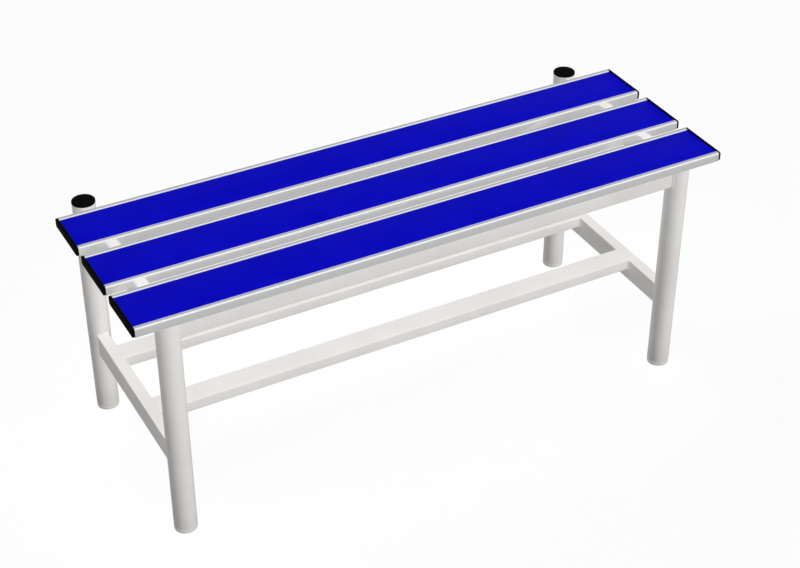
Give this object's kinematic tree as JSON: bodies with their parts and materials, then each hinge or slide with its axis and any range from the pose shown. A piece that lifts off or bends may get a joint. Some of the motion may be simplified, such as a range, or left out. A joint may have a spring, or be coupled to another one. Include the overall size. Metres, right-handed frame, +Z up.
{
  "type": "changing room bench",
  "caption": "Low straight bench: flat coloured panels set in aluminium slats on a welded frame of round legs and box-tube rails, with upright rear legs behind the seat.",
  "frame": {"origin": "on the floor, under the middle of the overall box", "axes": "+X along the bench, +Y towards the rear legs, +Z up"},
  "size_m": [1.04, 0.4014, 0.432],
  "materials": {
    "frame_paint": "off-white powder coat, satin",
    "slat_aluminium": "anodised extrusion, satin",
    "blue_panel": "royal-blue rigid panel, fine matt texture",
    "black_plastic": "moulded, satin",
    "pale_plastic": "moulded, satin",
    "zinc_steel": "bright zinc plate"
  },
  "bodies": {
    "root": {"leg_front_left": "frame_paint", "foot_plug_front_left": "pale_plastic", "leg_front_right": "frame_paint", "foot_plug_front_right": "pale_plastic", "leg_rear_left": "frame_paint", "foot_plug_rear_left": "pale_plastic", "leg_rear_right": "frame_paint", "foot_plug_rear_right": "pale_plastic", "leg_cap_rear_left": "black_plastic", "leg_plug_front_left": "black_plastic", "leg_cap_rear_right": "black_plastic", "leg_plug_front_right": "black_plastic", "cross_rail_left": "frame_paint", "side_stretcher_left": "frame_paint", "cross_rail_right": "frame_paint", "side_stretcher_right": "frame_paint", "front_apron": "frame_paint", "centre_rail": "frame_paint", "rear_rail": "frame_paint", "slat_extrusion_front": "slat_aluminium", "slat_panel_front": "blue_panel", "slat_end_cap_front_left": "black_plastic", "slat_end_cap_front_right": "black_plastic", "slat_extrusion_middle": "slat_aluminium", "slat_panel_middle": "blue_panel", "slat_end_cap_middle_left": "black_plastic", "slat_end_cap_middle_right": "black_plastic", "slat_extrusion_rear": "slat_aluminium", "slat_panel_rear": "blue_panel", "slat_end_cap_rear_left": "black_plastic", "slat_end_cap_rear_right": "black_plastic", "slat_bolt_front_left": "zinc_steel", "slat_washer_front_left": "zinc_steel", "slat_nut_front_left": "zinc_steel", "slat_bolt_front_right": "zinc_steel", "slat_washer_front_right": "zinc_steel", "slat_nut_front_right": "zinc_steel", "slat_bolt_middle_left": "zinc_steel", "slat_washer_middle_left": "zinc_steel", "slat_nut_middle_left": "zinc_steel", "slat_bolt_middle_right": "zinc_steel", "slat_washer_middle_right": "zinc_steel", "slat_nut_middle_right": "zinc_steel", "slat_bolt_rear_left": "zinc_steel", "slat_washer_rear_left": "zinc_steel", "slat_nut_rear_left": "zinc_steel", "slat_bolt_rear_right": "zinc_steel", "slat_washer_rear_right": "zinc_steel", "slat_nut_rear_right": "zinc_steel"}
  },
  "joints": []
}
